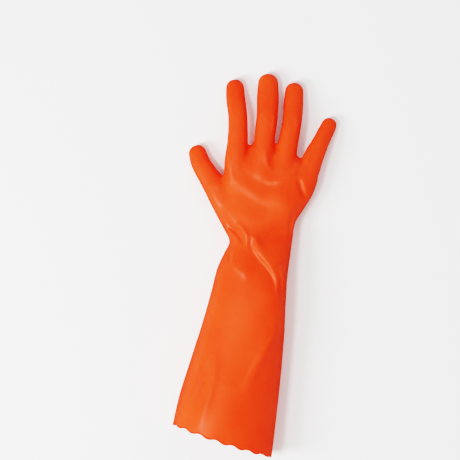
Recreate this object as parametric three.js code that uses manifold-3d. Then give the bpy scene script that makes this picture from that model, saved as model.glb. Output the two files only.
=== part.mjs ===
// A right-hand gauntlet glove of thick dipped rubber, elbow length, lying palm down.
// It is one hollow piece: a flared cuff with a scalloped hem, a creased wrist, the hand,
// four slightly bent fingers and the thumb. The hand goes in at the cuff.
// Millimetres. +Y runs from the hem to the fingertips, +X to the little finger's side,
// and +Z up through the back of the hand. The origin is under the middle of the glove.

import * as THREE from "three";
import { mergeVertices } from "three/addons/utils/BufferGeometryUtils.js";
import Module from "manifold-3d";

const wasm = await Module();
wasm.setup();

// Driving sizes
const WALL = 1.6; // rubber and its knitted backing
const FLOOR = 0; // the surface that the glove lies on, which flattens it where they touch
const SCALLOPS = 16; // waves cut round the hem
const SCALLOP_DEPTH = 1.4; // how far a wave reaches either side of the hem's line
const BOW_HALF_WIDTH = 60; // where a section's edges lie, seen from above
const SCALLOP_FADE = 7; // length over which the waves die out, up the cuff
const WRIST_START = 186; // the creased length, which gets more facets
const WRIST_END = 275;
const MOUTH_CLEARANCE = 30; // how far the cavity's cutter sticks out of the cuff
// Facets round each region, and how far apart the wrist's rings of them are
const OUTSIDE = { hem: SCALLOPS * 6, cuff: 40, wrist: 60, digit: 15, wristStep: 3.8 };
const INSIDE = { hem: 32, cuff: 28, wrist: 30, digit: 9, wristStep: 4.6 };
const OUTLINE_STEPS = 360; // fine points on a section before it is divided
const UPPER_SHARE = 2; // facets on the folded upper side for each one underneath
const CUFF_STEP = 16; // how far apart the rings of facets are along the cuff
const HAND_STEP = 10; // and along the hand
const RINGS_PER_ROW = 2; // rings of facets for each row of a digit's table
const TIP_TURNS = [0.35, 0.7, 1.0, 1.28]; // angles at which a round tip gets a ring
const TIP_BLUNTNESS = 0.9; // how fast a tip draws in, where 1 is round and less is blunter
const DIGIT_ROUNDNESS = 2.3; // a digit's outline exponent, where 2 is an ellipse

// A table as a list of rows whose values have the columns' names.
function table(columns, rows) {
  return rows.map((row) => Object.fromEntries(columns.map((name, i) => [name, row[i]])));
}

// Sections across the cuff, wrist and hand, from the hem to the finger webs.
// left, right: the side edges' x, at heights leftZ and rightZ.
// crestX, top: the highest point; bottom: the lowest. slant: rise in y for each mm of x.
// bow: how much further up both edges lie than the middle.
// roundLeft, roundRight, roundUnder: the exponents of the outline's upper left, upper right
// and lower side, where 1 is straight, 2 is an ellipse and more is boxier.
const SLEEVE = table(
  [
    "y", "left", "leftZ", "right", "rightZ", "crestX", "top", "bottom", "slant", "bow",
    "roundLeft", "roundRight", "roundUnder",
  ],
  [
    [0, -63.2, 40, 61, 40, -14, 86, -2, -0.184, 2.5, 2.2, 1.85, 2.3],
    [40, -60, 38, 60.2, 38, -10, 82, -2, -0.15, 1, 2.2, 1.75, 2.3],
    [90, -52.6, 35, 58.6, 36, 2, 76, -2, -0.08, 0, 2.25, 1.75, 2.3],
    [140, -44.5, 32, 55.7, 33, 12, 70, -2, -0.03, 0, 2.3, 2.1, 2.3],
    [180, -39.2, 30, 51.8, 31, 10, 65, -1.5, 0, 0, 2.3, 2.6, 2.3],
    [208, -36, 28, 49.7, 29, 9, 61, -1, 0, 0, 2.3, 2.6, 2.3],
    [228, -30, 26, 49.5, 27, 10, 57, 0.5, 0, 0, 2.3, 2.4, 2.2],
    [242, -26, 25, 49.5, 26, 12, 54, 0.5, 0, 0, 2.3, 2.4, 2.2],
    [258, -35, 22, 49.3, 25, 12, 52, -1, 0, 0, 2.4, 2.4, 2.3],
    [276, -44, 20, 50.2, 24, 10, 50, -1.5, 0, 0, 2.4, 2.5, 2.3],
    [296, -43, 22, 59.2, 23, 8, 47, 0.5, 0, 0, 2.5, 2.5, 2.3],
    [318, -43.5, 24, 67.4, 23, 6, 44, 4, 0, 0, 2.5, 2.5, 2.2],
    [338, -42, 25, 68, 24, 6, 40, 8.5, 0, 0, 2.5, 2.5, 2.2],
    [352, -37, 26, 61, 25, 6, 35.5, 13, 0, 0, 2.4, 2.4, 2.2],
  ],
);

// The hand's end between the fingers is a rounded edge, which also curves round in plan.
const WEB_START = 352;
const WEB_LENGTH = 14;
const WEB_HEIGHT = 26;
const WEB_MIDDLE_X = 6;
const WEB_CURVE = 0.0055; // how fast the edge falls back, in mm for each square mm
const WEB_STEPS = 4;
const WEB_SQUASH = 0.12; // what is left of the thickness at the edge
const WEB_NARROWING = 0.2; // how much of the width is lost there

// Centrelines of the digits, from inside the hand to where the round tip begins.
// wide and thick are half widths.
const digitTable = (rows) => table(["x", "y", "z", "wide", "thick"], rows);
const DIGITS = {
  index: digitTable([
    [-26, 312, 27, 12, 12],
    [-31, 338, 27.5, 14, 13.2],
    [-33, 364, 27, 12.4, 12],
    [-36.6, 392, 24.5, 11.6, 11],
    [-42, 412, 17, 11.6, 10.6],
    [-45, 427, 10.7, 11, 10.4],
  ]),
  middle: digitTable([
    [2, 314, 29, 12.5, 12],
    [0, 342, 29, 12.9, 13],
    [-1, 370, 28, 12.7, 12],
    [-1.8, 400, 25, 13, 11.2],
    [-4, 422, 17.2, 13.2, 11],
    [-6, 438.5, 11, 12.3, 10.6],
  ]),
  ring: digitTable([
    [24, 312, 28, 12.5, 12],
    [26.5, 340, 28, 12.8, 12.8],
    [27.8, 368, 27, 12.3, 11.6],
    [29.2, 396, 24, 11.6, 10.8],
    [28, 416, 16.6, 12, 10.6],
    [26.8, 433, 10.7, 11.2, 10.4],
  ]),
  little: digitTable([
    [49.5, 312, 24, 13, 11.5],
    [56, 336, 24, 13.4, 12],
    [61, 358, 23, 12.4, 10.8],
    [66.8, 376, 19.5, 10.4, 9.6],
    [71.5, 390, 13.4, 9.8, 9],
    [74.2, 398.4, 9.2, 9.3, 8.8],
  ]),
  thumb: digitTable([
    [-8, 254, 24, 16, 15],
    [-27, 276.3, 22, 17.8, 17],
    [-44.5, 298.5, 20, 16.9, 15.5],
    [-58.8, 313.4, 17, 13.5, 13],
    [-72.8, 330.2, 12.8, 12, 11.8],
    [-79.2, 342.7, 10.6, 10.8, 10.6],
  ]),
};
const TIPS = { index: 11, middle: 12, ring: 11, little: 9.2, thumb: 10 }; // lengths of the round ends

// Creases and ridges in the upper side, each along a curve from 1 to 2 that a and b bend.
// wideL and wideR are how far it spreads to the left and right of the way it runs, and
// sharp is 1 for a keen edge and 2 for a round one. Negative heights go down.
const FOLDS = table(
  [
    "x1", "y1", "xa", "ya", "xb", "yb", "x2", "y2", "wideL", "wideR", "height", "sharp",
  ],
  [
    // Wrist: the long S-shaped crest and the hollow below it
    [5, 254, 1, 229, 41, 225, 39, 190, 5, 2, 0.7, 1.6],
    [1, 251, -3, 224, 38, 220, 36, 187, 2.2, 12, -4.8, 1.6],
    // Wrist: the pinch at its right, and the heel of the hand above it
    [8, 246, 24, 262, 38, 266, 70, 262, 11, 13, -9.5, 1.9],
    [14, 312, 26, 304, 42, 296, 56, 280, 13, 13, 3.2, 2],
    [58, 300, 44, 286, 42, 272, 48, 258, 2.5, 3, -3.4, 2],
    // Wrist: creases at its left, and the small ones at its right edge
    [-21, 265, -8, 258, -5, 250, -5, 233, 3.5, 1.8, 2.4, 1.6],
    [-32, 260, -22, 257, -12, 251, -10, 241, 3.5, 2.8, -5.0, 1.7],
    [-46, 284, -38, 268, -28, 260, -18, 253, 4, 3.5, -3.4, 1.8],
    [-26, 231, -24, 227, -23.5, 223, -22, 216, 2.4, 2.4, -4.5, 2],
    [-33, 234, -20, 217, -12, 211, 6, 202, 11, 5, 2.2, 1.8],
    [40, 222, 43, 212, 46, 206, 48, 190, 3, 2.4, 3.2, 1.7],
    [42, 208, 43, 200, 45, 192, 47, 172, 2, 2, -3.0, 1.8],
    // Cuff: the crest of its side face and the crease beside it, and soft waves at its left
    [60, 176, 47, 137, 31, 120, 18, 62, 8, 11, 5.2, 1.9],
    [57, 166, 41, 138, 22, 116, 11, 66, 10, 26, -3.6, 1],
    [26, 84, 16, 64, 8, 40, 2, 4, 16, 30, 1.4, 2],
    [-38, 140, -36, 100, -38, 74, -54, 30, 6, 6, 2.2, 2],
    [-30, 96, -31, 80, -35, 60, -44, 30, 5, 5, -2.0, 2],
    [-24, 108, -21, 84, -21, 54, -36, 8, 6, 6, 2.0, 2],
    // Back of the hand: two slanting hollows, and the ridges that run into the webs
    [-28, 330, -8, 320, 8, 311, 34, 313, 6, 10, -1.2, 2],
    [-32, 307, -12, 300, -4, 288, 20, 287, 7, 12, -1.5, 2],
    [45, 355, 44, 337, 38, 323, 6, 319, 3, 4.5, 1.8, 1.8],
    [-42, 348, -39, 330, -37, 321, -31, 311, 4, 4, 1.8, 2],
    [2, 362, 4, 346, 6, 340, 16, 332, 3, 3, 1.3, 2],
    [13.5, 367, 14, 363, 14, 360, 14, 353, 2.6, 2.6, -3.6, 2],
    [-16, 364, -17, 360, -18, 356, -19, 348, 2.6, 2.6, -2.2, 2],
    [56, 366, 55, 357, 53, 349, 47, 338, 3, 3, 1.9, 1.7],
    [45, 330, 50, 322, 53, 312, 61, 304, 3, 4, -3.2, 2],
    [-56, 313, -53, 311, -50, 308, -46, 306, 5, 5, 3.0, 2],
  ],
);
const FOLD_STEPS = 24; // straight pieces that stand for a fold's curve
const FOLD_TAPER = 0.8; // how a fold fades towards its ends: less is a blunter end
const LEAST_SPREAD = { wrist: 4.5, elsewhere: 7 }; // the narrowest that the facets can show
const SPREAD_CHANGE = 12; // length over which one narrowest spread becomes the other
const FOLD_END = [350, 372]; // the folds die out over this stretch of y

// A row of a table at any place between its rows, each column on one smooth curve.
function between(rows, key, place) {
  const last = rows.length - 2;
  const at = THREE.MathUtils.clamp(place, rows[0][key], rows[last + 1][key]);
  let i = 0;
  while (i < last && at > rows[i + 1][key]) i += 1;
  const a = rows[i];
  const b = rows[i + 1];
  const before = rows[Math.max(i - 1, 0)];
  const after = rows[Math.min(i + 2, rows.length - 1)];
  const span = b[key] - a[key];
  const t = (at - a[key]) / span;
  const made = {};
  for (const column of Object.keys(a)) {
    const slopeA = (b[column] - before[column]) / (b[key] - before[key]);
    const slopeB = (after[column] - a[column]) / (after[key] - a[key]);
    const t2 = t * t;
    const t3 = t2 * t;
    made[column] =
      a[column] * (2 * t3 - 3 * t2 + 1) +
      slopeA * span * (t3 - 2 * t2 + t) +
      b[column] * (3 * t2 - 2 * t3) +
      slopeB * span * (t3 - t2);
  }
  return made;
}

// Points along a closed outline that is given as a function of an angle, from start on.
// They are evenly spaced, or closer together where weight says so.
function spread(outline, start, sides, weight = () => 1) {
  const fine = [];
  for (let i = 0; i <= OUTLINE_STEPS; i += 1)
    fine.push(outline(start + (2 * Math.PI * i) / OUTLINE_STEPS));
  const length = [0];
  for (let i = 1; i < fine.length; i += 1) {
    const step = fine[i].distanceTo(fine[i - 1]) * weight(fine[i]);
    length.push(length[i - 1] + step);
  }
  const total = length[OUTLINE_STEPS];
  const points = [];
  let i = 1;
  for (let k = 0; k < sides; k += 1) {
    const at = (total * k) / sides;
    while (length[i] < at) i += 1;
    const t = (at - length[i - 1]) / (length[i] - length[i - 1]);
    points.push(fine[i - 1].clone().lerp(fine[i], t));
  }
  return points;
}

// One section of the sleeve, its edges drawn in by inset, as a function of the angle.
function sectionOutline(row, inset) {
  return (angle) => {
    const c = Math.cos(angle);
    const s = Math.sin(angle);
    const shoulder = c >= 0 ? row.roundRight : row.roundLeft;
    const power = 2 / (s >= 0 ? shoulder : row.roundUnder);
    const edgeX = c >= 0 ? row.right - inset : row.left + inset;
    const edgeZ = heightOfEdge(row, edgeX);
    const farZ = s >= 0 ? row.top - inset : row.bottom + inset;
    const x = row.crestX + (edgeX - row.crestX) * Math.abs(c) ** power;
    const z = heightOfEdge(row, x);
    const y = row.y + row.slant * x + row.bow * (x / BOW_HALF_WIDTH) ** 2;
    return new THREE.Vector3(x, y, z + (farZ - z) * Math.abs(s) ** power);
  };
}

// The height of a section's middle line, which goes from one side edge to the other.
function heightOfEdge(row, x) {
  const share = THREE.MathUtils.smoothstep(x, row.left, row.right);
  return row.leftZ + (row.rightZ - row.leftZ) * share;
}

// The narrowest spread of a fold at y, where the facets are small or large. A fold that is
// made wider than it is becomes as much lower.
function leastSpread(y) {
  const { smoothstep, lerp } = THREE.MathUtils;
  const past = smoothstep(y, WRIST_START - SPREAD_CHANGE, WRIST_START);
  const before = 1 - smoothstep(y, WRIST_END, WRIST_END + SPREAD_CHANGE);
  return lerp(LEAST_SPREAD.elsewhere, LEAST_SPREAD.wrist, past * before);
}

// How far a place of the upper side is moved up by one fold.
function liftOf(fold, x, y) {
  const bend = (p1, a, b, p2, t) => {
    const u = 1 - t;
    return u ** 3 * p1 + 3 * u * u * t * a + 3 * u * t * t * b + t ** 3 * p2;
  };
  let distance = Infinity;
  let along = 0;
  let leftOfIt = false;
  let ax = fold.x1;
  let ay = fold.y1;
  for (let i = 1; i <= FOLD_STEPS; i += 1) {
    const dx = bend(fold.x1, fold.xa, fold.xb, fold.x2, i / FOLD_STEPS) - ax;
    const dy = bend(fold.y1, fold.ya, fold.yb, fold.y2, i / FOLD_STEPS) - ay;
    const part = ((x - ax) * dx + (y - ay) * dy) / (dx * dx + dy * dy);
    const t = THREE.MathUtils.clamp(part, 0, 1);
    const offX = x - ax - t * dx;
    const offY = y - ay - t * dy;
    const d = Math.hypot(offX, offY);
    if (d < distance) {
      distance = d;
      along = (i - 1 + t) / FOLD_STEPS;
      leftOfIt = dx * offY - dy * offX > 0;
    }
    ax += dx;
    ay += dy;
  }
  const least = leastSpread(y);
  const left = Math.max(fold.wideL, least);
  const right = Math.max(fold.wideR, least);
  const height = (fold.height * (fold.wideL + fold.wideR)) / (left + right);
  const ends = (4 * along * (1 - along)) ** FOLD_TAPER;
  const wide = leftOfIt ? left : right;
  return height * ends * Math.exp(-((distance / wide) ** fold.sharp));
}

// Folds the upper side and lays the lower side on the floor. y is where along the sleeve
// the point is, and lift is the wall's own thickness for the cavity and 0 for the outside.
function foldAndLay(point, y, lift) {
  const row = between(SLEEVE, "y", y);
  const upper = THREE.MathUtils.smoothstep(point.z, (row.top + row.bottom) / 2, row.top);
  const share = upper * (1 - THREE.MathUtils.smoothstep(point.y, ...FOLD_END));
  if (share > 0)
    for (const fold of FOLDS) point.z += share * liftOf(fold, point.x, point.y);
  point.z = Math.max(point.z, FLOOR + lift);
  return point;
}

// Joins two rings of any two counts with a band of triangles, always by the shorter way
// across. Both rings are lists of numbers of points, and start at one seam.
function zip(points, triangles, ringA, ringB) {
  let a = 0;
  let b = 0;
  const n = ringA.length;
  const m = ringB.length;
  const gap = (i, j) => points[ringA[i % n]].distanceTo(points[ringB[j % m]]);
  while (a < n || b < m) {
    const stepA = b === m || (a < n && gap(a + 1, b) <= gap(a, b + 1));
    if (stepA) {
      triangles.push(ringA[a % n], ringB[b % m], ringA[(a + 1) % n]);
      a += 1;
    } else {
      triangles.push(ringA[a % n], ringB[b % m], ringB[(b + 1) % m]);
      b += 1;
    }
  }
}

// A closed solid through a list of rings, with a point at each end.
function loft(firstPoint, rings, lastPoint) {
  const points = [firstPoint, ...rings.flat(), lastPoint];
  const last = points.length - 1;
  const triangles = [];
  let start = 1;
  const numbered = rings.map((ring) => {
    const numbers = ring.map((_, k) => start + k);
    start += ring.length;
    return numbers;
  });
  const first = numbered[0];
  const end = numbered[numbered.length - 1];
  first.forEach((p, k) => triangles.push(0, p, first[(k + 1) % first.length]));
  for (let r = 1; r < numbered.length; r += 1)
    zip(points, triangles, numbered[r - 1], numbered[r]);
  end.forEach((p, k) => triangles.push(last, end[(k + 1) % end.length], p));
  let solid = toSolid(points, triangles);
  if (solid.volume() < 0) {
    for (let i = 0; i < triangles.length; i += 3)
      [triangles[i + 1], triangles[i + 2]] = [triangles[i + 2], triangles[i + 1]];
    solid = toSolid(points, triangles);
  }
  return solid;
}

function toSolid(points, triangles) {
  const vertProperties = new Float32Array(points.flatMap((p) => [p.x, p.y, p.z]));
  return new wasm.Manifold(
    new wasm.Mesh({ numProp: 3, vertProperties, triVerts: new Uint32Array(triangles) }),
  );
}

function middleOf(ring) {
  const sum = new THREE.Vector3();
  ring.forEach((p) => sum.add(p));
  return sum.divideScalar(ring.length);
}

// The heights along the sleeve where it gets a ring, closer together at the wrist.
function sleeveStations(wristStep) {
  const stations = [];
  const add = (from, to, step) => {
    for (let y = from; y < to; y += step) stations.push(y);
  };
  add(SCALLOP_FADE, WRIST_START, CUFF_STEP);
  add(WRIST_START + wristStep, WRIST_END, wristStep);
  add(WRIST_END + HAND_STEP / 2, WEB_START - HAND_STEP / 2, HAND_STEP);
  return [...stations, WEB_START];
}

// The cuff, wrist and hand up to the finger webs.
function sleeve(inset) {
  const facets = inset > 0 ? INSIDE : OUTSIDE;
  const outlineOf = (row, sides) => {
    const middle = heightOfEdge(row, row.crestX);
    const folded = row.y > WRIST_START;
    const weight = (p) => (folded && p.z > middle ? UPPER_SHARE : 1);
    return spread(sectionOutline(row, inset), Math.PI, sides, weight);
  };
  const ringAt = (row, sides) =>
    outlineOf(row, sides).map((p) => foldAndLay(p, row.y, inset));
  const rings = [];
  const hem = ringAt(SLEEVE[0], facets.hem);
  if (inset > 0) {
    rings.push(hem.map((p) => p.clone().setY(p.y - MOUTH_CLEARANCE)));
    rings.push(hem);
  } else {
    const wave = (k) => Math.sin((2 * Math.PI * SCALLOPS * k) / facets.hem);
    rings.push(hem.map((p, k) => p.clone().setY(p.y + SCALLOP_DEPTH * wave(k))));
  }
  for (const y of sleeveStations(facets.wristStep)) {
    const creased = y > WRIST_START && y < WRIST_END;
    const plain = creased ? facets.wrist : facets.cuff;
    const sides = y <= SCALLOP_FADE ? facets.hem : plain;
    rings.push(ringAt(between(SLEEVE, "y", y), sides));
  }
  const end = SLEEVE[SLEEVE.length - 1];
  const reach = WEB_LENGTH - inset;
  for (let k = 1; k <= WEB_STEPS; k += 1) {
    const turn = (Math.PI / 2) * (k / (WEB_STEPS + 0.5));
    const kept = WEB_SQUASH + (1 - WEB_SQUASH) * Math.cos(turn);
    rings.push(
      outlineOf(end, facets.cuff).map((p) => {
        const back = WEB_CURVE * (p.x - WEB_MIDDLE_X) ** 2 * Math.sin(turn);
        p.y += reach * Math.sin(turn) - back;
        p.z = WEB_HEIGHT + (p.z - WEB_HEIGHT) * kept;
        const narrowed = 1 - WEB_NARROWING * (1 - Math.cos(turn));
        p.x = WEB_MIDDLE_X + (p.x - WEB_MIDDLE_X) * narrowed;
        return foldAndLay(p, WEB_START, inset);
      }),
    );
  }
  const first = rings[0];
  const last = rings[rings.length - 1];
  return loft(middleOf(first), rings, middleOf(last).setY(WEB_START + reach));
}

// A finger or the thumb: a bent, tapering round bar with a round tip.
function digit(rows, tip, inset) {
  const numbered = rows.map((row, i) => ({ ...row, at: i }));
  const curve = (at) => {
    const row = between(numbered, "at", at);
    return { ...row, centre: new THREE.Vector3(row.x, row.y, row.z) };
  };
  const sides = inset > 0 ? INSIDE.digit : OUTSIDE.digit;
  const last = rows.length - 1;
  const up = new THREE.Vector3(0, 0, 1);
  const rings = [];
  const ringAt = (here, forward, shift, scale) => {
    const across = new THREE.Vector3().crossVectors(forward, up).normalize();
    const back = new THREE.Vector3().crossVectors(across, forward).normalize();
    const centre = here.centre.clone().addScaledVector(forward, shift);
    const boxy = (value) => Math.sign(value) * Math.abs(value) ** (2 / DIGIT_ROUNDNESS);
    const outline = (angle) =>
      centre
        .clone()
        .addScaledVector(across, (here.wide - inset) * scale * boxy(Math.cos(angle)))
        .addScaledVector(back, (here.thick - inset) * scale * boxy(Math.sin(angle)));
    return spread(outline, 0, sides).map((p) => foldAndLay(p, p.y, inset));
  };
  const nearby = 0.1;
  const forwardAt = (at) => {
    const a = curve(Math.max(at - nearby, 0)).centre;
    const b = curve(Math.min(at + nearby, last)).centre;
    return b.sub(a).normalize();
  };
  for (let at = 0; at <= last; at += 1 / RINGS_PER_ROW)
    rings.push(ringAt(curve(at), forwardAt(at), 0, 1));
  const end = curve(last);
  const forward = forwardAt(last);
  const length = tip - inset;
  for (const turn of TIP_TURNS)
    rings.push(ringAt(end, forward, length * Math.sin(turn), Math.cos(turn) ** TIP_BLUNTNESS));
  const start = middleOf(rings[0]);
  const point = end.centre.clone().addScaledVector(forward, length);
  point.z = Math.max(point.z, FLOOR + inset);
  return loft(start, rings, point);
}

// The whole glove filled in, its surface drawn in by inset.
function filled(inset) {
  let solid = sleeve(inset);
  for (const [name, rows] of Object.entries(DIGITS))
    solid = solid.add(digit(rows, TIPS[name], inset));
  return solid;
}

function toGeometry(solid) {
  const mesh = solid.getMesh();
  const geometry = new THREE.BufferGeometry();
  geometry.setAttribute(
    "position",
    new THREE.BufferAttribute(new Float32Array(mesh.vertProperties), 3),
  );
  geometry.setIndex(new THREE.BufferAttribute(new Uint32Array(mesh.triVerts), 1));
  const merged = mergeVertices(geometry);
  merged.computeVertexNormals();
  return merged;
}

const rubber = new THREE.MeshStandardMaterial({
  color: 0xf0501a,
  roughness: 0.38,
  metalness: 0,
});

const shell = new THREE.Mesh(toGeometry(filled(0).subtract(filled(WALL))), rubber);
shell.name = "glove_shell";

// The origin goes under the middle of the glove's box.
shell.geometry.computeBoundingBox();
const middle = shell.geometry.boundingBox.getCenter(new THREE.Vector3());
shell.position.set(-middle.x, -middle.y, 0);

const glove = new THREE.Group();
glove.add(shell);

export default glove;
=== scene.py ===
"""A long orange rubber gauntlet glove lying palm down on a pale floor, seen from above.

The glove's skin is one smooth surface round the same sections and digits as the solid.
The glove's own sizes are in millimetres, and become metres when its mesh is made. The
floor, the lamps and the camera are in metres from the start.
"""
import math

import bpy
import numpy as np
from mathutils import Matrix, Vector


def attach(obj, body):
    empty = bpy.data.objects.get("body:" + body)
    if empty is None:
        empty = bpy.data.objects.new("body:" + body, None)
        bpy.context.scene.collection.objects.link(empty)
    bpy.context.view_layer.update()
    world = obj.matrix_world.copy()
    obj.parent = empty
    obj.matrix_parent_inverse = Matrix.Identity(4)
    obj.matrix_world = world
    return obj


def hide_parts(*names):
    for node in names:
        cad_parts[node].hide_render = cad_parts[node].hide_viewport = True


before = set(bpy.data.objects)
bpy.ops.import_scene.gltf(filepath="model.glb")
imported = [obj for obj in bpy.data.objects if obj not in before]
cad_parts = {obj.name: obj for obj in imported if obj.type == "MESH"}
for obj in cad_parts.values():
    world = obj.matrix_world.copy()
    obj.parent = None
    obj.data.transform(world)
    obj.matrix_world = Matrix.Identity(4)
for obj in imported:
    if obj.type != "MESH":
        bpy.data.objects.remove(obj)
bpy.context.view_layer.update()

# Driving sizes of the glove, in millimetres
WALL = 1.6
SCALLOPS = 16
SCALLOP_DEPTH = 1.4
SCALLOP_FADE = 7.0
BOW_HALF_WIDTH = 60.0
WEB_START = 352.0
WEB_LENGTH = 14.0
WEB_MIDDLE_X = 6.0
WEB_CURVE = 0.0055
WEB_REACH = 20.0  # how far before the webs their rounding may begin
OUTER_STEP = 1.8  # size of a facet on the outside
INNER_STEP = 3.4
RELAX_ROUNDS = 2  # how often the outside's points are evened out
BLEND = 5.0  # how softly a digit flows into the hand
DIGIT_BLEND = 4.0
DIGIT_ROUNDNESS = 2.3  # 2 is an ellipse, and more is boxier
DIGIT_ROOT = 12.0  # how far a digit's rounded root runs on inside the hand
DIGIT_STEPS = 64  # places that stand for a digit's centreline
HEM_CENTRE_X = -4.0
HEM_CENTRE_Z = 42.0

# The grid that the skins are worked out on, and what keeps its values within bounds
GRID_X = (-96, 96)
GRID_ALONG = (0, 462)
GRID_Z = (-6, 94)
DIGIT_MARGIN = 12
FAR_OUTSIDE = 60.0
LEAST_SLOPE = 0.35
LEAST_RATIO = 1e-3

# Sections across the cuff, wrist and hand, from the hem to the finger webs. leftZ and
# rightZ are how high its side edges lie, crestX is where it is highest, and slant and bow
# move it along. The last three are 2 for an ellipse, and more is boxier.
SLEEVE_COLUMNS = (
    "y", "left", "leftZ", "right", "rightZ", "crestX", "top", "bottom", "slant", "bow",
    "roundLeft", "roundRight", "roundUnder",
)
SLEEVE = np.array([
    (0, -63.2, 40, 61, 40, -14, 86, -2, -0.184, 2.5, 2.2, 1.85, 2.3),
    (40, -60, 38, 60.2, 38, -10, 82, -2, -0.15, 1, 2.2, 1.75, 2.3),
    (90, -52.6, 35, 58.6, 36, 2, 76, -2, -0.08, 0, 2.25, 1.75, 2.3),
    (140, -44.5, 32, 55.7, 33, 12, 70, -2, -0.03, 0, 2.3, 2.1, 2.3),
    (180, -39.2, 30, 51.8, 31, 10, 65, -1.5, 0, 0, 2.3, 2.6, 2.3),
    (208, -36, 28, 49.7, 29, 9, 61, -1, 0, 0, 2.3, 2.6, 2.3),
    (228, -30, 26, 49.5, 27, 10, 57, 0.5, 0, 0, 2.3, 2.4, 2.2),
    (242, -26, 25, 49.5, 26, 12, 54, 0.5, 0, 0, 2.3, 2.4, 2.2),
    (258, -35, 22, 49.3, 25, 12, 52, -1, 0, 0, 2.4, 2.4, 2.3),
    (276, -44, 20, 50.2, 24, 10, 50, -1.5, 0, 0, 2.4, 2.5, 2.3),
    (296, -43, 22, 59.2, 23, 8, 47, 0.5, 0, 0, 2.5, 2.5, 2.3),
    (318, -43.5, 24, 67.4, 23, 6, 44, 4, 0, 0, 2.5, 2.5, 2.2),
    (338, -42, 25, 68, 24, 6, 40, 8.5, 0, 0, 2.5, 2.5, 2.2),
    (352, -37, 26, 61, 25, 6, 35.5, 13, 0, 0, 2.4, 2.4, 2.2),
])

# How long each digit's rounded tip is, and its centreline points: x, y, z, half width and
# half thickness
DIGITS = {
    "index": (11.0, [
        (-26, 312, 27, 12, 12),
        (-31, 338, 27.5, 14, 13.2),
        (-33, 364, 27, 12.4, 12),
        (-36.6, 392, 24.5, 11.6, 11),
        (-42, 412, 17, 11.6, 10.6),
        (-45, 427, 10.7, 11, 10.4),
    ]),
    "middle": (12.0, [
        (2, 314, 29, 12.5, 12),
        (0, 342, 29, 12.9, 13),
        (-1, 370, 28, 12.7, 12),
        (-1.8, 400, 25, 13, 11.2),
        (-4, 422, 17.2, 13.2, 11),
        (-6, 438.5, 11, 12.3, 10.6),
    ]),
    "ring": (11.0, [
        (24, 312, 28, 12.5, 12),
        (26.5, 340, 28, 12.8, 12.8),
        (27.8, 368, 27, 12.3, 11.6),
        (29.2, 396, 24, 11.6, 10.8),
        (28, 416, 16.6, 12, 10.6),
        (26.8, 433, 10.7, 11.2, 10.4),
    ]),
    "little": (9.2, [
        (49.5, 312, 24, 13, 11.5),
        (56, 336, 24, 13.4, 12),
        (61, 358, 23, 12.4, 10.8),
        (66.8, 376, 19.5, 10.4, 9.6),
        (71.5, 390, 13.4, 9.8, 9),
        (74.2, 398.4, 9.2, 9.3, 8.8),
    ]),
    "thumb": (10.0, [
        (-8, 254, 24, 16, 15),
        (-27, 276.3, 22, 17.8, 17),
        (-44.5, 298.5, 20, 16.9, 15.5),
        (-58.8, 313.4, 17, 13.5, 13),
        (-72.8, 330.2, 12.8, 12, 11.8),
        (-79.2, 342.7, 10.6, 10.8, 10.6),
    ]),
}

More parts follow.
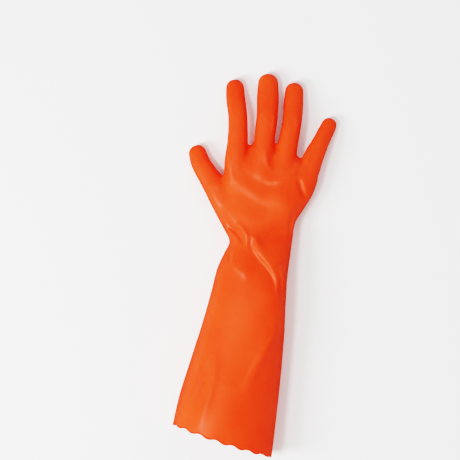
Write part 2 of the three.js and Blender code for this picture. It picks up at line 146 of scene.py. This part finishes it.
# Creases and ridges in the upper side, each along a curve from 1 to 2 that a and b bend.
# wideL and wideR are how far it spreads to the left and right of the way it runs, and
# sharp is 1 for a keen edge and 2 for a round one.
FOLD_COLUMNS = (
    "x1", "y1", "xa", "ya", "xb", "yb", "x2", "y2", "wideL", "wideR", "height", "sharp",
)
FOLDS = np.array([
    # Wrist: the long S-shaped crest and the hollow below it
    (5, 254, 1, 229, 41, 225, 39, 190, 5, 2, 0.7, 1.6),
    (1, 251, -3, 224, 38, 220, 36, 187, 2.2, 12, -4.8, 1.6),
    # Wrist: the pinch at its right, and the heel of the hand above it
    (8, 246, 24, 262, 38, 266, 70, 262, 11, 13, -9.5, 1.9),
    (14, 312, 26, 304, 42, 296, 56, 280, 13, 13, 3.2, 2),
    (58, 300, 44, 286, 42, 272, 48, 258, 2.5, 3, -3.4, 2),
    # Wrist: creases at its left, and the small ones at its right edge
    (-21, 265, -8, 258, -5, 250, -5, 233, 3.5, 1.8, 2.4, 1.6),
    (-32, 260, -22, 257, -12, 251, -10, 241, 3.5, 2.8, -5.0, 1.7),
    (-46, 284, -38, 268, -28, 260, -18, 253, 4, 3.5, -3.4, 1.8),
    (-26, 231, -24, 227, -23.5, 223, -22, 216, 2.4, 2.4, -4.5, 2),
    (-33, 234, -20, 217, -12, 211, 6, 202, 11, 5, 2.2, 1.8),
    (40, 222, 43, 212, 46, 206, 48, 190, 3, 2.4, 3.2, 1.7),
    (42, 208, 43, 200, 45, 192, 47, 172, 2, 2, -3.0, 1.8),
    # Cuff: the crest of its side face and the crease beside it, and soft waves at its left
    (60, 176, 47, 137, 31, 120, 18, 62, 8, 11, 5.2, 1.9),
    (57, 166, 41, 138, 22, 116, 11, 66, 10, 26, -3.6, 1),
    (26, 84, 16, 64, 8, 40, 2, 4, 16, 30, 1.4, 2),
    (-38, 140, -36, 100, -38, 74, -54, 30, 6, 6, 2.2, 2),
    (-30, 96, -31, 80, -35, 60, -44, 30, 5, 5, -2.0, 2),
    (-24, 108, -21, 84, -21, 54, -36, 8, 6, 6, 2.0, 2),
    # Back of the hand: two slanting hollows, and the ridges that run into the webs
    (-28, 330, -8, 320, 8, 311, 34, 313, 6, 10, -1.2, 2),
    (-32, 307, -12, 300, -4, 288, 20, 287, 7, 12, -1.5, 2),
    (45, 355, 44, 337, 38, 323, 6, 319, 3, 4.5, 1.8, 1.8),
    (-42, 348, -39, 330, -37, 321, -31, 311, 4, 4, 1.8, 2),
    (2, 362, 4, 346, 6, 340, 16, 332, 3, 3, 1.3, 2),
    (13.5, 367, 14, 363, 14, 360, 14, 353, 2.6, 2.6, -3.6, 2),
    (-16, 364, -17, 360, -18, 356, -19, 348, 2.6, 2.6, -2.2, 2),
    (56, 366, 55, 357, 53, 349, 47, 338, 3, 3, 1.9, 1.7),
    (45, 330, 50, 322, 53, 312, 61, 304, 3, 4, -3.2, 2),
    (-56, 313, -53, 311, -50, 308, -46, 306, 5, 5, 3.0, 2),
    # Small edges beside the finger joints
    (-8, 406, -13, 398, -14, 390, -12, 378, 2, 2, 1.4, 2),
    (5, 406, 8, 396, 9, 390, 6, 378, 2, 2, 1.4, 2),
    (33, 410, 35, 402, 36, 394, 35, 384, 2, 2, 1.4, 2),
    (68, 392, 70, 386, 70, 380, 67, 372, 2, 2, 1.0, 2),
])
FOLD_END = (402.0, 416.0)  # the folds die out over this stretch of the fingers
FOLD_TAPER = 0.8  # how a fold fades towards its ends: less is a blunter end
FOLD_REACH = 3.2  # how many times its width a fold reaches from its curve
FOLD_STEPS = 24  # straight pieces that stand for a fold's curve

# Colours of the outside and the inside, each between two close tints
OUTSIDE_TINTS = ((0.86, 0.045, 0.009, 1), (0.92, 0.055, 0.012, 1))
INSIDE_TINTS = ((0.62, 0.075, 0.022, 1), (0.78, 0.13, 0.04, 1))
FLOOR_COLOUR = (0.95, 0.95, 0.95, 1)
FLOOR_HALF_WIDTH = 4.0  # metres

# Lamps, in metres and watts: name, place, width, power, and whether the rubber mirrors it
LAMPS = (
    ("key", (-1.15, -0.7, 1.6), 0.5, 16, False),
    ("fill", (0.1, 1.3, 1.5), 0.8, 3, False),
    ("shine", (-0.55, -0.3, 1.9), 0.35, 12, True),
    ("low shine", (-1.3, -0.6, 1.15), 0.5, 11, True),
)
LAMP_TARGET = (0.0, 0.0, 0.03)
SKY_STRENGTH = 0.42
EXPOSURE = 0.7

# The photograph's frame, in metres: what lies at its middle, its width, and how far the
# glove leans in it
VIEW_X = -0.0239
VIEW_Y = 0.0357
VIEW_WIDTH = 0.5572
VIEW_LEAN = math.radians(8)
CAMERA_HEIGHT = 8.0
WIDEST_AT = 0.03  # height at which the outline is widest
SENSOR_WIDTH = 36  # millimetres, as Blender counts a camera's sensor


def smoothstep(low, high, value):
    """From 0 at low to 1 at high, without a corner at either."""
    t = np.clip((value - low) / (high - low), 0, 1)
    return t * t * (3 - 2 * t)


def smooth_curve(keys, values, at):
    """Values at any place between rows, on a smooth curve. keys is one column, values many."""
    keys = np.asarray(keys, float)
    values = np.asarray(values, float)
    last = len(keys) - 1
    after = np.minimum(np.arange(last + 1) + 1, last)
    before = np.maximum(np.arange(last + 1) - 1, 0)
    slopes = (values[after] - values[before]) / (keys[after] - keys[before])[:, None]
    at = np.clip(at, keys[0], keys[-1])
    i = np.clip(np.searchsorted(keys, at, side="right") - 1, 0, last - 1)
    span = (keys[i + 1] - keys[i])[..., None]
    t = (at - keys[i])[..., None] / span
    t2 = t * t
    t3 = t2 * t
    return (
        values[i] * (2 * t3 - 3 * t2 + 1)
        + slopes[i] * span * (t3 - 2 * t2 + t)
        + values[i + 1] * (3 * t2 - 2 * t3)
        + slopes[i + 1] * span * (t3 - t2)
    )


def sections(along):
    """The sleeve's columns at each place along it, as a dict of arrays."""
    made = smooth_curve(SLEEVE[:, 0], SLEEVE, along)
    return {name: made[..., k] for k, name in enumerate(SLEEVE_COLUMNS)}


def sleeve_distance(x, along, z):
    """Roughly how far each point lies outside the cuff, wrist and hand."""
    s = sections(along)
    across = (x - s["left"]) / (s["right"] - s["left"])
    edge_z = s["leftZ"] + (s["rightZ"] - s["leftZ"]) * smoothstep(0, 1, across)
    wide = np.where(x >= s["crestX"], s["right"] - s["crestX"], s["crestX"] - s["left"])
    upper = z >= edge_z
    high = np.where(upper, s["top"] - edge_z, edge_z - s["bottom"])
    shoulder = np.where(x >= s["crestX"], s["roundRight"], s["roundLeft"])
    power = np.where(upper, shoulder, s["roundUnder"])
    dx = x - s["crestX"]
    dz = z - edge_z
    ratio = ((np.abs(dx) / wide) ** power + (np.abs(dz) / high) ** power) ** (1 / power)
    ratio = np.maximum(ratio, LEAST_RATIO)
    past = along + WEB_CURVE * (x - WEB_MIDDLE_X) ** 2 - WEB_START
    past = np.where(along > WEB_START - WEB_REACH, np.maximum(past, 0), 0)
    whole = np.sqrt(ratio ** 2 + (past / WEB_LENGTH) ** 2)
    size = np.sqrt(dx ** 2 + dz ** 2 + past ** 2)
    return size * (1 - 1 / whole)


def digit_distance(points, tip, rows):
    """Roughly how far each point lies outside a finger or the thumb."""
    rows = np.array(rows, float)
    at = np.linspace(0, len(rows) - 1, DIGIT_STEPS)
    line = smooth_curve(np.arange(len(rows)), rows, at)
    centre = line[:, :3]
    forward = np.gradient(centre, axis=0)
    forward /= np.linalg.norm(forward, axis=1, keepdims=True)
    across = np.cross(forward, (0, 0, 1.0))
    across /= np.linalg.norm(across, axis=1, keepdims=True)
    up = np.cross(across, forward)
    frames = np.concatenate([line, forward, across, up], axis=1)
    nearest = np.zeros(len(points), int)
    least = np.full(len(points), np.inf)
    for k in range(DIGIT_STEPS):
        d = ((points - centre[k]) ** 2).sum(1)
        closer = d < least
        least[closer] = d[closer]
        nearest[closer] = k
    spacing = np.linalg.norm(np.gradient(centre, axis=0), axis=1)
    shift = ((points - centre[nearest]) * forward[nearest]).sum(1) / spacing[nearest]
    place = np.clip(nearest + shift, 0, DIGIT_STEPS - 1)
    low = np.minimum(place.astype(int), DIGIT_STEPS - 2)
    part = (place - low)[:, None]
    here = frames[low] * (1 - part) + frames[low + 1] * part
    offset = points - here[:, :3]
    excess = (offset * here[:, 5:8]).sum(1)
    sideways = (offset * here[:, 8:11]).sum(1)
    upward = (offset * here[:, 11:14]).sum(1)
    length = np.where(excess > 0, tip, DIGIT_ROOT)
    power = DIGIT_ROUNDNESS
    around = (np.abs(sideways) / here[:, 3]) ** power + (np.abs(upward) / here[:, 4]) ** power
    ratio = np.sqrt(around ** (2 / power) + (excess / length) ** 2)
    size = np.sqrt(sideways ** 2 + upward ** 2 + excess ** 2)
    return size * (1 - 1 / np.maximum(ratio, LEAST_RATIO))


def melt(a, b, softness):
    """The nearer of two surfaces, run together softly where they meet."""
    near = np.maximum(softness - np.abs(a - b), 0) / softness
    return np.minimum(a, b) - near * near * softness / 4


def glove_field(step):
    """The whole glove's distance on a grid that starts exactly at the hem."""
    xs = np.arange(*GRID_X, step)
    along = np.arange(*GRID_ALONG, step)
    zs = np.arange(*GRID_Z, step)
    shape = (len(xs), len(along), len(zs))
    grid_x, grid_y, grid_z = np.meshgrid(xs, along, zs, indexing="ij")
    sleeve = sleeve_distance(grid_x, grid_y, grid_z)
    digits = np.full(shape, FAR_OUTSIDE)
    for tip, rows in DIGITS.values():
        table = np.array(rows, float)
        reach = table[:, 3:].max() + tip + DIGIT_MARGIN
        low = table[:, :3].min(0) - reach
        high = table[:, :3].max(0) + reach
        inside = (
            slice(*np.searchsorted(xs, (low[0], high[0]))),
            slice(*np.searchsorted(along, (low[1], high[1]))),
            slice(*np.searchsorted(zs, (low[2], high[2]))),
        )
        block = digits[inside]
        points = np.stack([g[inside].ravel() for g in (grid_x, grid_y, grid_z)], axis=1)
        made = digit_distance(points, tip, rows).reshape(block.shape)
        digits[inside] = melt(block, made, DIGIT_BLEND)
    field = melt(sleeve, digits, BLEND)
    slope = np.sqrt(sum(g ** 2 for g in np.gradient(field, step)))
    return (xs, along, zs), field / np.maximum(slope, LEAST_SLOPE)


def skin(axes, field, level):
    """One surface where the field is level: a point in each crossed cell, joined in fours."""
    step = axes[0][1] - axes[0][0]
    value = field - level
    solid = value < 0
    cells = tuple(n - 1 for n in field.shape)
    total = np.zeros(cells + (3,))
    count = np.zeros(cells)
    corner = [slice(0, n) for n in cells]
    crossings = []
    for axis in range(3):
        size = list(field.shape)
        size[axis] -= 1
        near = tuple(slice(0, n) for n in size)
        far = tuple(slice(1, None) if a == axis else slice(0, size[a]) for a in range(3))
        crossed = solid[near] != solid[far]
        share = np.where(crossed, value[near] / (value[near] - value[far] + 1e-12), 0)
        crossings.append((axis, crossed, solid[near]))
        others = [a for a in range(3) if a != axis]
        for i in (0, 1):
            for j in (0, 1):
                pick = list(corner)
                pick[others[0]] = slice(i, i + cells[others[0]])
                pick[others[1]] = slice(j, j + cells[others[1]])
                pick[axis] = slice(0, cells[axis])
                hit = crossed[tuple(pick)]
                count += hit
                total[..., axis] += np.where(hit, share[tuple(pick)], 0)
                total[..., others[0]] += np.where(hit, i, 0)
                total[..., others[1]] += np.where(hit, j, 0)
    used = count > 0
    number = np.full(cells, -1)
    number[used] = np.arange(used.sum())
    where = np.argwhere(used)
    points = where + total[used] / count[used][:, None]
    points = points * step + np.array([a[0] for a in axes])
    faces = []
    for axis, crossed, starts_solid in crossings:
        b, c = (axis + 1) % 3, (axis + 2) % 3
        edge = np.argwhere(crossed)
        inner = np.all(
            [(edge[:, a] > 0) & (edge[:, a] < cells[a]) for a in (b, c)], axis=0
        )
        edge = edge[inner]
        outward = starts_solid[tuple(edge.T)]
        quad = []
        for i, j in ((-1, -1), (0, -1), (0, 0), (-1, 0)):
            cell = edge.copy()
            cell[:, b] += i
            cell[:, c] += j
            quad.append(number[tuple(cell.T)])
        quad = np.stack(quad, axis=1)
        quad[~outward] = quad[~outward][:, ::-1]
        faces.append(quad)
    faces = np.concatenate(faces)
    hem = where[:, 1] == 0
    points[hem, 1] = axes[1][0]
    return points, faces, hem


def relax(points, faces, fixed, rounds):
    """Evens the points out a little, but leaves the fixed ones where they are."""
    edges = np.concatenate([faces[:, [k, (k + 1) % 4]] for k in range(4)])
    for _ in range(rounds):
        total = np.zeros_like(points)
        count = np.zeros(len(points))
        for a, b in ((0, 1), (1, 0)):
            np.add.at(total, edges[:, a], points[edges[:, b]])
            np.add.at(count, edges[:, a], 1)
        moved = points + 0.5 * (total / np.maximum(count, 1)[:, None] - points)
        points = np.where(fixed[:, None], points, moved)
    return points


def bend(start, a, b, end, t):
    """Points on a curve from start to end, drawn towards a and then b on its way."""
    u = 1 - t
    return u ** 3 * start + 3 * u * u * t * a + 3 * u * t * t * b + t ** 3 * end


def fold_height(x, y):
    """How far the folds lift each place of the upper side."""
    lift = np.zeros(len(x))
    t = np.linspace(0, 1, FOLD_STEPS + 1)
    for row in FOLDS:
        f = dict(zip(FOLD_COLUMNS, row))
        curve_x = bend(f["x1"], f["xa"], f["xb"], f["x2"], t)
        curve_y = bend(f["y1"], f["ya"], f["yb"], f["y2"], t)
        reach = FOLD_REACH * max(f["wideL"], f["wideR"])
        near = (
            (x > curve_x.min() - reach) & (x < curve_x.max() + reach)
            & (y > curve_y.min() - reach) & (y < curve_y.max() + reach)
        )
        px, py = x[near], y[near]
        least = np.full(len(px), np.inf)
        place = np.zeros(len(px))
        side = np.zeros(len(px))
        for k in range(FOLD_STEPS):
            ax, ay = curve_x[k], curve_y[k]
            bx, by = curve_x[k + 1] - ax, curve_y[k + 1] - ay
            share = np.clip(((px - ax) * bx + (py - ay) * by) / (bx * bx + by * by), 0, 1)
            dx, dy = px - ax - share * bx, py - ay - share * by
            d = np.hypot(dx, dy)
            closer = d < least
            least[closer] = d[closer]
            place[closer] = (k + share[closer]) / FOLD_STEPS
            side[closer] = (bx * dy - by * dx)[closer]
        wide = np.where(side > 0, f["wideL"], f["wideR"])
        ends = (4 * place * (1 - place)) ** FOLD_TAPER
        lift[near] += f["height"] * ends * np.exp(-((least / wide) ** f["sharp"]))
    return lift


def turn_round_cuff(x, z):
    """The direction of a place from the middle of the cuff's opening."""
    return np.arctan2(z - HEM_CENTRE_Z, x - HEM_CENTRE_X)


def scallop_phase(points, hem):
    """A function from a point's direction round the cuff to its place along the hem, 0 to 1."""
    ring = points[hem]
    turn = turn_round_cuff(ring[:, 0], ring[:, 2])
    order = np.argsort(turn)
    turn, ring = turn[order], ring[order]
    step = np.linalg.norm(np.diff(ring, axis=0, append=ring[:1]), axis=1)
    length = np.concatenate([[0], np.cumsum(step)])
    turn = np.append(turn, turn[0] + 2 * np.pi)
    share = length / length[-1]

    def phase(x, z):
        angle = turn_round_cuff(x, z)
        angle = np.where(angle < turn[0], angle + 2 * np.pi, angle)
        return np.interp(angle, turn, share)

    return phase


def place_in_frame(points, phase, floor):
    """From the straight grid to the lying glove: slanted hem, scallops, folds, floor."""
    x, along, z = points.T.copy()
    s = sections(along)
    y = along + s["slant"] * x + s["bow"] * (x / BOW_HALF_WIDTH) ** 2
    wave = np.sin(2 * np.pi * SCALLOPS * phase(x, z))
    y += SCALLOP_DEPTH * wave * (1 - smoothstep(0, SCALLOP_FADE, along))
    middle = (s["top"] + s["bottom"]) / 2
    share = smoothstep(middle, s["top"], z) * (1 - smoothstep(*FOLD_END, y))
    z = z + fold_height(x, y) * share
    z = np.maximum(z, floor)
    return np.stack([x, y, z], axis=1)


def by_angle(points, hem):
    """The hem's points in order round the cuff."""
    numbers = np.flatnonzero(hem)
    ring = points[numbers]
    turn = turn_round_cuff(ring[:, 0], ring[:, 2])
    order = np.argsort(turn)
    return numbers[order], turn[order]


def rim(outer, outer_turn, inner, inner_turn):
    """Triangles between the outer and the inner hem, whose points differ in number."""
    faces = []
    a = b = 0
    n, m = len(outer), len(inner)
    outer_turn = np.append(outer_turn, outer_turn[0] + 2 * np.pi)
    inner_turn = np.append(inner_turn, inner_turn[0] + 2 * np.pi)
    while a < n or b < m:
        if b == m or (a < n and outer_turn[a + 1] <= inner_turn[b + 1]):
            faces.append((outer[a % n], inner[b % m], outer[(a + 1) % n]))
            a += 1
        else:
            faces.append((outer[a % n], inner[b % m], inner[(b + 1) % m]))
            b += 1
    return faces


def make_glove():
    """The outer and the inner skin, joined round the hem, as one object."""
    axes, field = glove_field(OUTER_STEP)
    outer, outer_faces, outer_hem = skin(axes, field, 0)
    outer = relax(outer, outer_faces, outer_hem, RELAX_ROUNDS)
    axes, field = glove_field(INNER_STEP)
    inner, inner_faces, inner_hem = skin(axes, field, -WALL)
    inner_faces = inner_faces[:, ::-1]
    phase = scallop_phase(outer, outer_hem)
    ring_out = by_angle(outer, outer_hem)
    ring_in = by_angle(inner, inner_hem)
    outer = place_in_frame(outer, phase, 0.0)
    inner = place_in_frame(inner, phase, WALL)
    count = len(outer)
    points = np.concatenate([outer, inner])
    rim_faces = rim(ring_out[0], ring_out[1], ring_in[0] + count, ring_in[1])
    faces = [tuple(map(int, f)) for f in outer_faces]
    faces += [tuple(map(int, f)) for f in inner_faces + count]
    faces += [tuple(map(int, f)) for f in rim_faces]
    middle = (points.max(0) + points.min(0)) / 2
    points[:, :2] -= middle[:2]
    mesh = bpy.data.meshes.new("glove")
    mesh.from_pydata((points / 1000).tolist(), [], faces)
    mesh.update()
    mesh.polygons.foreach_set("use_smooth", [True] * len(mesh.polygons))
    slots = [0] * len(outer_faces) + [1] * len(inner_faces) + [0] * len(rim_faces)
    mesh.polygons.foreach_set("material_index", slots)
    print("glove:", len(points), "points,", len(faces), "faces, middle", middle)
    glove = bpy.data.objects.new("glove", mesh)
    bpy.context.scene.collection.objects.link(glove)
    return glove


def outer_rubber():
    """Glossy saturated orange rubber, faintly mottled and uneven."""
    material = bpy.data.materials.new("orange_rubber")
    material.use_nodes = True
    nodes = material.node_tree.nodes
    links = material.node_tree.links
    shader = nodes["Principled BSDF"]
    place = nodes.new("ShaderNodeTexCoord")

    cloudy = nodes.new("ShaderNodeTexNoise")
    cloudy.inputs["Scale"].default_value = 22
    cloudy.inputs["Detail"].default_value = 3
    links.new(place.outputs["Object"], cloudy.inputs["Vector"])
    tint = nodes.new("ShaderNodeValToRGB")
    tint.color_ramp.elements[0].position = 0.3
    tint.color_ramp.elements[0].color = OUTSIDE_TINTS[0]
    tint.color_ramp.elements[1].position = 0.7
    tint.color_ramp.elements[1].color = OUTSIDE_TINTS[1]
    links.new(cloudy.outputs["Fac"], tint.inputs["Fac"])
    links.new(tint.outputs["Color"], shader.inputs["Base Color"])

    gloss = nodes.new("ShaderNodeMapRange")
    gloss.inputs["To Min"].default_value = 0.38
    gloss.inputs["To Max"].default_value = 0.50
    links.new(cloudy.outputs["Fac"], gloss.inputs["Value"])
    links.new(gloss.outputs["Result"], shader.inputs["Roughness"])

    # A fine grain on slow ripples that count six times as much
    grain = nodes.new("ShaderNodeTexNoise")
    grain.inputs["Scale"].default_value = 420
    grain.inputs["Detail"].default_value = 2
    links.new(place.outputs["Object"], grain.inputs["Vector"])
    ripple = nodes.new("ShaderNodeTexNoise")
    ripple.inputs["Scale"].default_value = 60
    ripple.inputs["Detail"].default_value = 1
    links.new(place.outputs["Object"], ripple.inputs["Vector"])
    both = nodes.new("ShaderNodeMath")
    both.operation = "MULTIPLY_ADD"
    both.inputs[1].default_value = 6
    links.new(ripple.outputs["Fac"], both.inputs[0])
    links.new(grain.outputs["Fac"], both.inputs[2])
    bump = nodes.new("ShaderNodeBump")
    bump.inputs["Strength"].default_value = 0.25
    bump.inputs["Distance"].default_value = 0.0003
    links.new(both.outputs["Value"], bump.inputs["Height"])
    links.new(bump.outputs["Normal"], shader.inputs["Normal"])

    shader.inputs["Subsurface Weight"].default_value = 0.25
    shader.inputs["Subsurface Radius"].default_value = (1.0, 0.3, 0.1)
    shader.inputs["Subsurface Scale"].default_value = 0.003
    shader.inputs["IOR"].default_value = 1.35
    shader.inputs["Specular IOR Level"].default_value = 0.35
    shader.inputs["Specular Tint"].default_value = (1.0, 0.7, 0.55, 1)
    shader.inputs["Coat Weight"].default_value = 0.3
    shader.inputs["Coat IOR"].default_value = 1.35
    shader.inputs["Coat Roughness"].default_value = 0.3
    return material


def inner_rubber():
    """The matte inside, a little paler."""
    material = bpy.data.materials.new("inside")
    material.use_nodes = True
    nodes = material.node_tree.nodes
    links = material.node_tree.links
    shader = nodes["Principled BSDF"]
    place = nodes.new("ShaderNodeTexCoord")
    fibres = nodes.new("ShaderNodeTexNoise")
    fibres.inputs["Scale"].default_value = 700
    fibres.inputs["Detail"].default_value = 4
    links.new(place.outputs["Object"], fibres.inputs["Vector"])
    tint = nodes.new("ShaderNodeValToRGB")
    tint.color_ramp.elements[0].color = INSIDE_TINTS[0]
    tint.color_ramp.elements[1].color = INSIDE_TINTS[1]
    links.new(fibres.outputs["Fac"], tint.inputs["Fac"])
    links.new(tint.outputs["Color"], shader.inputs["Base Color"])
    bump = nodes.new("ShaderNodeBump")
    bump.inputs["Strength"].default_value = 0.5
    bump.inputs["Distance"].default_value = 0.0004
    links.new(fibres.outputs["Fac"], bump.inputs["Height"])
    links.new(bump.outputs["Normal"], shader.inputs["Normal"])
    shader.inputs["Roughness"].default_value = 0.85
    return material


def make_floor():
    """A plain pale floor, which the rubber doesn't mirror."""
    size = FLOOR_HALF_WIDTH
    mesh = bpy.data.meshes.new("floor")
    corners = [(-size, -size, 0), (size, -size, 0), (size, size, 0), (-size, size, 0)]
    mesh.from_pydata(corners, [], [(0, 1, 2, 3)])
    floor = bpy.data.objects.new("floor", mesh)
    bpy.context.scene.collection.objects.link(floor)
    material = bpy.data.materials.new("pale_floor")
    material.use_nodes = True
    shader = material.node_tree.nodes["Principled BSDF"]
    shader.inputs["Base Color"].default_value = FLOOR_COLOUR
    shader.inputs["Roughness"].default_value = 0.7
    mesh.materials.append(material)
    floor.visible_glossy = False


def area_light(name, place, target, size, power, glossy):
    """A round lamp aimed at a place. A lamp that isn't glossy lights, but isn't mirrored."""
    data = bpy.data.lights.new(name, "AREA")
    data.shape = "DISK"
    data.size = size
    data.energy = power
    light = bpy.data.objects.new(name, data)
    light.location = place
    direction = Vector(target) - Vector(place)
    light.rotation_euler = direction.to_track_quat("-Z", "Y").to_euler()
    light.visible_glossy = glossy
    bpy.context.scene.collection.objects.link(light)


def make_lights():
    """The lamps, an even white sky, and how the picture is exposed."""
    for name, place, size, power, glossy in LAMPS:
        area_light(name, place, LAMP_TARGET, size, power, glossy)
    world = bpy.context.scene.world or bpy.data.worlds.new("studio")
    bpy.context.scene.world = world
    world.use_nodes = True
    background = world.node_tree.nodes["Background"]
    background.inputs["Color"].default_value = (1, 1, 1, 1)
    background.inputs["Strength"].default_value = SKY_STRENGTH
    world.cycles_visibility.glossy = False
    view = bpy.context.scene.view_settings
    view.view_transform = "Filmic"
    view.look = "Very High Contrast"
    view.exposure = EXPOSURE


def make_camera():
    """A camera straight above, turned as far as the glove leans in the photograph."""
    data = bpy.data.cameras.new("camera")
    data.sensor_width = SENSOR_WIDTH
    data.lens = SENSOR_WIDTH * (CAMERA_HEIGHT - WIDEST_AT) / VIEW_WIDTH
    camera = bpy.data.objects.new("camera", data)
    camera.location = (VIEW_X, VIEW_Y, CAMERA_HEIGHT)
    camera.rotation_euler = (0, 0, VIEW_LEAN)
    bpy.context.scene.collection.objects.link(camera)
    bpy.context.scene.camera = camera


glove = make_glove()
glove.data.materials.append(outer_rubber())
glove.data.materials.append(inner_rubber())
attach(glove, "root")
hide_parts("glove_shell")
make_floor()
make_lights()
make_camera()
